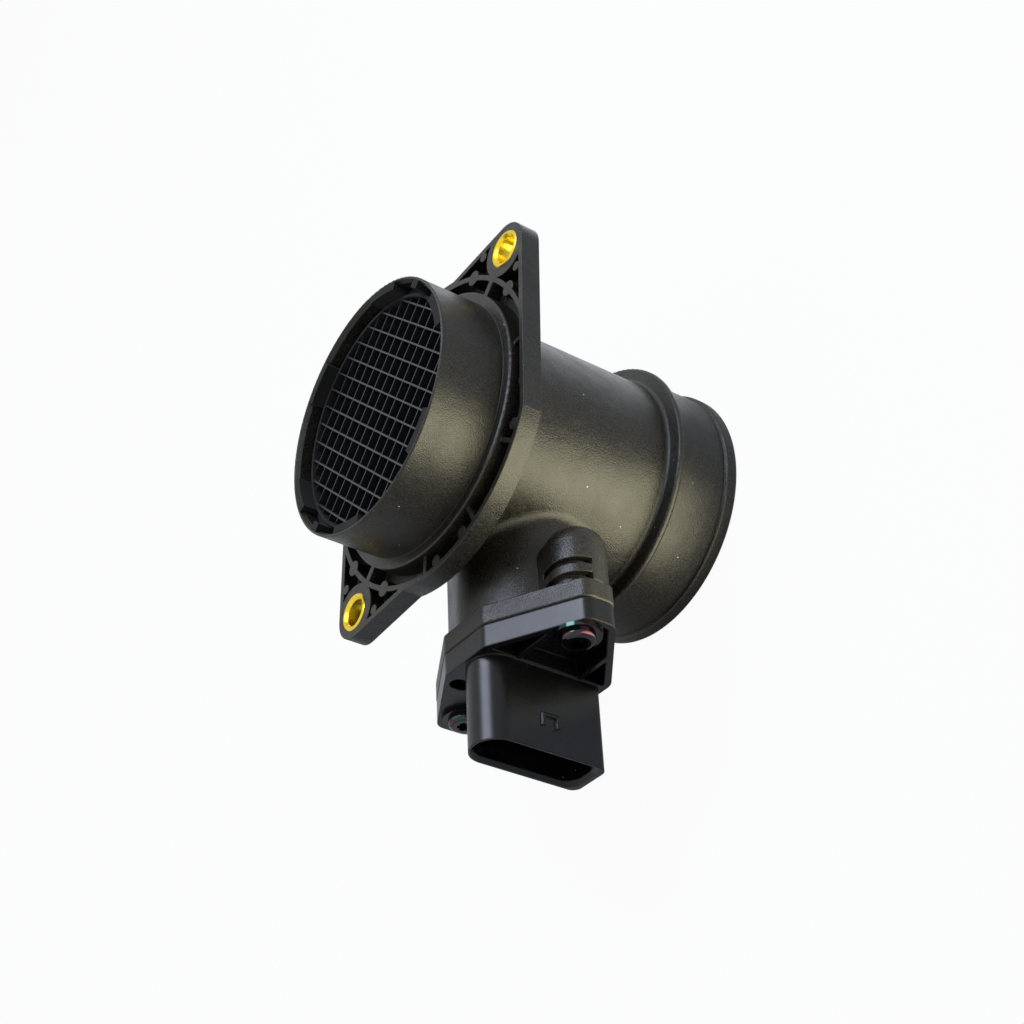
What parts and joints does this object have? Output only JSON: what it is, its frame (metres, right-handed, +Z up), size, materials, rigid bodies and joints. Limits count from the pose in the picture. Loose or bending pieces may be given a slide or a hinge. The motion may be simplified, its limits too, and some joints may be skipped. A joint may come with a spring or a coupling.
{
  "type": "mass airflow sensor",
  "caption": "Black tubular airflow sensor with an inlet grid, a two-eared mounting flange, a hose spigot and a side-mounted plug-in probe with an electrical connector.",
  "frame": {"origin": "on the axis of the air duct, at the outlet end face", "axes": "+Z up along the duct axis towards the inlet grid; the electrical connector points to -Y; the flange ears lie on a line 45 degrees from +X"},
  "size_m": [0.0852, 0.1304, 0.0928],
  "materials": {
    "housing_plastic": "satin, glass-filled, finely grained",
    "insert_plastic": "smooth satin",
    "grid_plastic": "satin",
    "chromated_steel": "yellow, semi-bright",
    "screw_steel": "dark bright passivated",
    "screen_wire": "drawn wire",
    "seal_rubber": "matt",
    "terminal_metal": "tin plated",
    "base_metal": "mill",
    "board_ceramic": "fired alumina",
    "chip_black": "moulded epoxy"
  },
  "bodies": {
    "root": {"housing": "housing_plastic", "bush_upper": "chromated_steel", "bush_lower": "chromated_steel", "flow_grid": "grid_plastic", "spacer_ring": "housing_plastic", "wire_screen": "screen_wire", "sensor_insert": "insert_plastic", "seal_ring": "seal_rubber", "board_lid": "insert_plastic", "channel_lid": "insert_plastic", "base_plate": "base_metal", "circuit_board": "board_ceramic", "control_chip": "chip_black", "small_parts": "chip_black", "bond_ribbons": "base_metal", "element_holder": "chip_black", "sensing_element": "base_metal", "plate_screws": "screw_steel", "terminal_1": "terminal_metal", "terminal_2": "terminal_metal", "terminal_3": "terminal_metal", "terminal_4": "terminal_metal", "terminal_5": "terminal_metal"}
  },
  "joints": []
}
